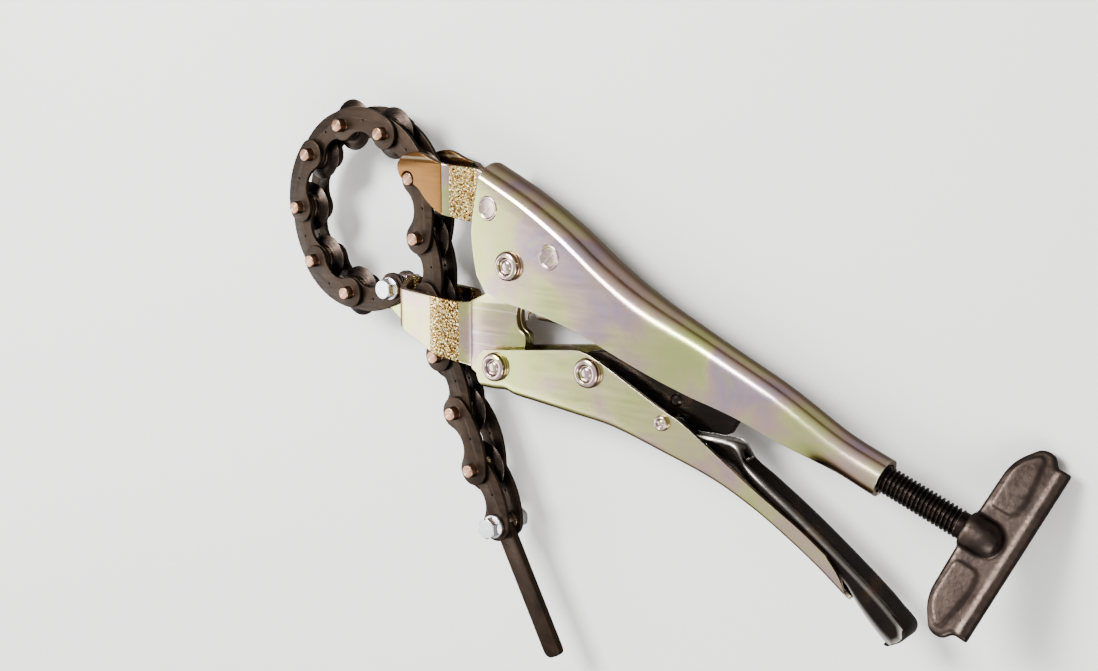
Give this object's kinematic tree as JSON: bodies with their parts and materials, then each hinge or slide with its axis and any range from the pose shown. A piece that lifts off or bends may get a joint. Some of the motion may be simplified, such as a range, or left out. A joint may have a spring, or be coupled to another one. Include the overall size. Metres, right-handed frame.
{
  "type": "locking chain pipe cutter pliers",
  "caption": "Locking pliers with a cutting-wheel chain looped between two stamped jaws, an adjusting screw with a T-handle, and a release lever.",
  "frame": {"origin": "centre of the bounding box in plan, at its lowest face; the tool lies flat on one side", "axes": "+X from the jaws to the T-handle, +Y across the handles towards the upper handle, +Z along every pivot"},
  "size_m": [0.357, 0.2304, 0.0367],
  "materials": {
    "yellow_zinc": "pale yellow passivated zinc plate",
    "rivet_steel": "yellow zinc plate, semi-bright",
    "chain_steel": "bronzed dark steel",
    "wheel_steel": "hardened steel, ground rim",
    "bright_zinc": "bright zinc plate",
    "black_steel": "satin black oxide",
    "screw_steel": "oiled black oxide, rolled thread",
    "forged_steel": "dark bronzed forging with worn edges",
    "spring_steel": "bright drawn wire"
  },
  "bodies": {
    "frame": {"upper_handle": "yellow_zinc", "upper_jaw_plate_near": "yellow_zinc", "upper_jaw_plate_far": "yellow_zinc", "jaw_plug_1": "rivet_steel", "jaw_plug_2": "rivet_steel", "main_pivot_rivet": "rivet_steel", "return_spring": "spring_steel"},
    "lower_jaw_body": {"lower_jaw_plate_near": "yellow_zinc", "lower_jaw_plate_far": "yellow_zinc", "jaw_pivot_rivet": "rivet_steel", "anchor_bolt": "bright_zinc", "anchor_nut": "bright_zinc"},
    "lower_handle_body": {"lower_handle": "yellow_zinc", "toggle_pivot_rivet": "rivet_steel", "lever_pivot_rivet": "rivet_steel"},
    "toggle_body": {"toggle_link": "black_steel"},
    "release_lever_body": {"release_lever": "black_steel"},
    "screw_nose_body": {"screw_nose": "screw_steel"},
    "screw_body": {"adjusting_screw": "screw_steel", "t_handle": "forged_steel"},
    "link_1_body": {"chain_link_1": "chain_steel"},
    "link_2_body": {"chain_link_2": "chain_steel"},
    "link_3_body": {"chain_link_3": "chain_steel"},
    "link_4_body": {"chain_link_4": "chain_steel"},
    "link_5_body": {"chain_link_5": "chain_steel"},
    "link_6_body": {"chain_link_6": "chain_steel"},
    "link_7_body": {"chain_link_7": "chain_steel"},
    "link_8_body": {"chain_link_8": "chain_steel"},
    "link_9_body": {"chain_link_9": "chain_steel"},
    "link_10_body": {"chain_link_10": "chain_steel"},
    "link_11_body": {"chain_link_11": "chain_steel"},
    "link_12_body": {"chain_link_12": "chain_steel"},
    "link_13_body": {"chain_link_13": "chain_steel", "tail_bolt": "bright_zinc", "tail_nut": "bright_zinc"},
    "tail_body": {"tail_strip": "chain_steel"},
    "wheel_1_body": {"cutting_wheel_1": "wheel_steel"},
    "wheel_2_body": {"cutting_wheel_2": "wheel_steel"},
    "wheel_3_body": {"cutting_wheel_3": "wheel_steel"},
    "wheel_4_body": {"cutting_wheel_4": "wheel_steel"},
    "wheel_5_body": {"cutting_wheel_5": "wheel_steel"},
    "wheel_6_body": {"cutting_wheel_6": "wheel_steel"},
    "wheel_7_body": {"cutting_wheel_7": "wheel_steel"},
    "wheel_8_body": {"cutting_wheel_8": "wheel_steel"},
    "wheel_9_body": {"cutting_wheel_9": "wheel_steel"},
    "wheel_10_body": {"cutting_wheel_10": "wheel_steel"},
    "wheel_11_body": {"cutting_wheel_11": "wheel_steel"},
    "wheel_12_body": {"cutting_wheel_12": "wheel_steel"}
  },
  "joints": [
    {"name": "jaw_hinge", "type": "hinge", "parent": "frame", "child": "lower_jaw_body", "pos_m": [-0.04, 0.05061, 0.01834], "axis": [0, 0, 1], "range_deg": [0, 5.45], "deforming": ["return_spring"]},
    {"name": "handle_hinge", "type": "hinge", "parent": "lower_jaw_body", "child": "lower_handle_body", "pos_m": [-0.0488, 0.00791, 0.01834], "axis": [0, 0, 1], "range_deg": [-30, 0]},
    {"name": "toggle_hinge", "type": "hinge", "parent": "lower_handle_body", "child": "toggle_body", "pos_m": [-0.001, 0.01201, 0.01834], "axis": [0, 0, 1], "range_deg": [0, 43.55]},
    {"name": "release_lever_hinge", "type": "hinge", "parent": "lower_handle_body", "child": "release_lever_body", "pos_m": [0.0339, -0.00249, 0.01834], "axis": [0, 0, 1], "range_deg": [0, 4]},
    {"name": "screw_feed", "type": "slide", "parent": "frame", "child": "screw_nose_body", "axis": [0.9336, -0.3584, 0], "range_m": [0, 0.008]},
    {"name": "screw_turn", "type": "hinge", "parent": "screw_nose_body", "child": "screw_body", "pos_m": [0.1205, -0.00969, 0.01834], "axis": [0.9336, -0.3584, 0], "range_deg": [0, 1801]},
    {"name": "chain_hinge_1", "type": "hinge", "parent": "lower_jaw_body", "child": "link_1_body", "pos_m": [-0.11126, 0.03411, 0.01834], "axis": [0, 0, 1], "range_deg": [-0.67, 0.67]},
    {"name": "chain_hinge_2", "type": "hinge", "parent": "link_1_body", "child": "link_2_body", "pos_m": [-0.1363, 0.02989, 0.01834], "axis": [0, 0, 1], "range_deg": [-3.49, 3.49]},
    {"name": "chain_hinge_3", "type": "hinge", "parent": "link_2_body", "child": "link_3_body", "pos_m": [-0.15837, 0.04247, 0.01834], "axis": [0, 0, 1], "range_deg": [-0.71, 0.71]},
    {"name": "chain_hinge_4", "type": "hinge", "parent": "link_3_body", "child": "link_4_body", "pos_m": [-0.16749, 0.06618, 0.01834], "axis": [0, 0, 1], "range_deg": [-4, 4]},
    {"name": "chain_hinge_5", "type": "hinge", "parent": "link_4_body", "child": "link_5_body", "pos_m": [-0.15954, 0.0903, 0.01834], "axis": [0, 0, 1], "range_deg": [-0.56, 0.56]},
    {"name": "chain_hinge_6", "type": "hinge", "parent": "link_5_body", "child": "link_6_body", "pos_m": [-0.13812, 0.10395, 0.01834], "axis": [0, 0, 1], "range_deg": [-4.25, 4.25]},
    {"name": "chain_hinge_7", "type": "hinge", "parent": "link_6_body", "child": "link_7_body", "pos_m": [-0.1129, 0.10097, 0.01834], "axis": [0, 0, 1], "range_deg": [-1.89, 1.89]},
    {"name": "chain_hinge_8", "type": "hinge", "parent": "link_7_body", "child": "link_8_body", "pos_m": [-0.09526, 0.08269, 0.01834], "axis": [0, 0, 1], "range_deg": [-4.98, 4.98]},
    {"name": "chain_hinge_9", "type": "hinge", "parent": "link_8_body", "child": "link_9_body", "pos_m": [-0.09317, 0.05738, 0.01834], "axis": [0, 0, 1], "range_deg": [-2, 0.2]},
    {"name": "chain_hinge_10", "type": "hinge", "parent": "link_9_body", "child": "link_10_body", "pos_m": [-0.08964, 0.03222, 0.01834], "axis": [0, 0, 1], "range_deg": [-4, 0.2]},
    {"name": "chain_hinge_11", "type": "hinge", "parent": "link_10_body", "child": "link_11_body", "pos_m": [-0.08264, 0.00781, 0.01834], "axis": [0, 0, 1], "range_deg": [-20, 0.5]},
    {"name": "chain_hinge_12", "type": "hinge", "parent": "link_11_body", "child": "link_12_body", "pos_m": [-0.07291, -0.01566, 0.01834], "axis": [0, 0, 1], "range_deg": [-20, 8]},
    {"name": "chain_hinge_13", "type": "hinge", "parent": "link_12_body", "child": "link_13_body", "pos_m": [-0.06283, -0.03897, 0.01834], "axis": [0, 0, 1], "range_deg": [-20, 8]},
    {"name": "tail_hinge", "type": "hinge", "parent": "link_13_body", "child": "tail_body", "pos_m": [-0.05209, -0.06199, 0.01834], "axis": [0, 0, 1], "range_deg": [-30, 15]},
    {"name": "wheel_turn_1", "type": "hinge", "parent": "link_1_body", "child": "wheel_1_body", "pos_m": [-0.1363, 0.02989, 0.01834], "axis": [0, 0, 1], "continuous": true},
    {"name": "wheel_turn_2", "type": "hinge", "parent": "link_3_body", "child": "wheel_2_body", "pos_m": [-0.15837, 0.04247, 0.01834], "axis": [0, 0, 1], "continuous": true},
    {"name": "wheel_turn_3", "type": "hinge", "parent": "link_3_body", "child": "wheel_3_body", "pos_m": [-0.16749, 0.06618, 0.01834], "axis": [0, 0, 1], "continuous": true},
    {"name": "wheel_turn_4", "type": "hinge", "parent": "link_5_body", "child": "wheel_4_body", "pos_m": [-0.15954, 0.0903, 0.01834], "axis": [0, 0, 1], "continuous": true},
    {"name": "wheel_turn_5", "type": "hinge", "parent": "link_5_body", "child": "wheel_5_body", "pos_m": [-0.13812, 0.10395, 0.01834], "axis": [0, 0, 1], "continuous": true},
    {"name": "wheel_turn_6", "type": "hinge", "parent": "link_7_body", "child": "wheel_6_body", "pos_m": [-0.1129, 0.10097, 0.01834], "axis": [0, 0, 1], "continuous": true},
    {"name": "wheel_turn_7", "type": "hinge", "parent": "link_7_body", "child": "wheel_7_body", "pos_m": [-0.09526, 0.08269, 0.01834], "axis": [0, 0, 1], "continuous": true},
    {"name": "wheel_turn_8", "type": "hinge", "parent": "link_9_body", "child": "wheel_8_body", "pos_m": [-0.09317, 0.05738, 0.01834], "axis": [0, 0, 1], "continuous": true},
    {"name": "wheel_turn_9", "type": "hinge", "parent": "link_9_body", "child": "wheel_9_body", "pos_m": [-0.08964, 0.03222, 0.01834], "axis": [0, 0, 1], "continuous": true},
    {"name": "wheel_turn_10", "type": "hinge", "parent": "link_11_body", "child": "wheel_10_body", "pos_m": [-0.08264, 0.00781, 0.01834], "axis": [0, 0, 1], "continuous": true},
    {"name": "wheel_turn_11", "type": "hinge", "parent": "link_11_body", "child": "wheel_11_body", "pos_m": [-0.07291, -0.01566, 0.01834], "axis": [0, 0, 1], "continuous": true},
    {"name": "wheel_turn_12", "type": "hinge", "parent": "link_13_body", "child": "wheel_12_body", "pos_m": [-0.06283, -0.03897, 0.01834], "axis": [0, 0, 1], "continuous": true}
  ],
  "couplings": [
    {"joint": "jaw_hinge", "follows": "handle_hinge", "ratio": -0.18},
    {"joint": "toggle_hinge", "follows": "handle_hinge", "ratio": -1.45},
    {"joint": "screw_turn", "follows": "screw_feed", "rad_per_m": 3927},
    {"joint": "chain_hinge_1", "follows": "chain_hinge_4", "ratio": -0.15509},
    {"joint": "chain_hinge_2", "follows": "chain_hinge_4", "ratio": -0.86007},
    {"joint": "chain_hinge_3", "follows": "chain_hinge_4", "ratio": 0.16598},
    {"joint": "chain_hinge_5", "follows": "chain_hinge_4", "ratio": 0.12709},
    {"joint": "chain_hinge_6", "follows": "chain_hinge_4", "ratio": -1.0489},
    {"joint": "chain_hinge_7", "follows": "chain_hinge_4", "ratio": -0.46094},
    {"joint": "chain_hinge_8", "follows": "chain_hinge_4", "ratio": 1.2319}
  ]
}
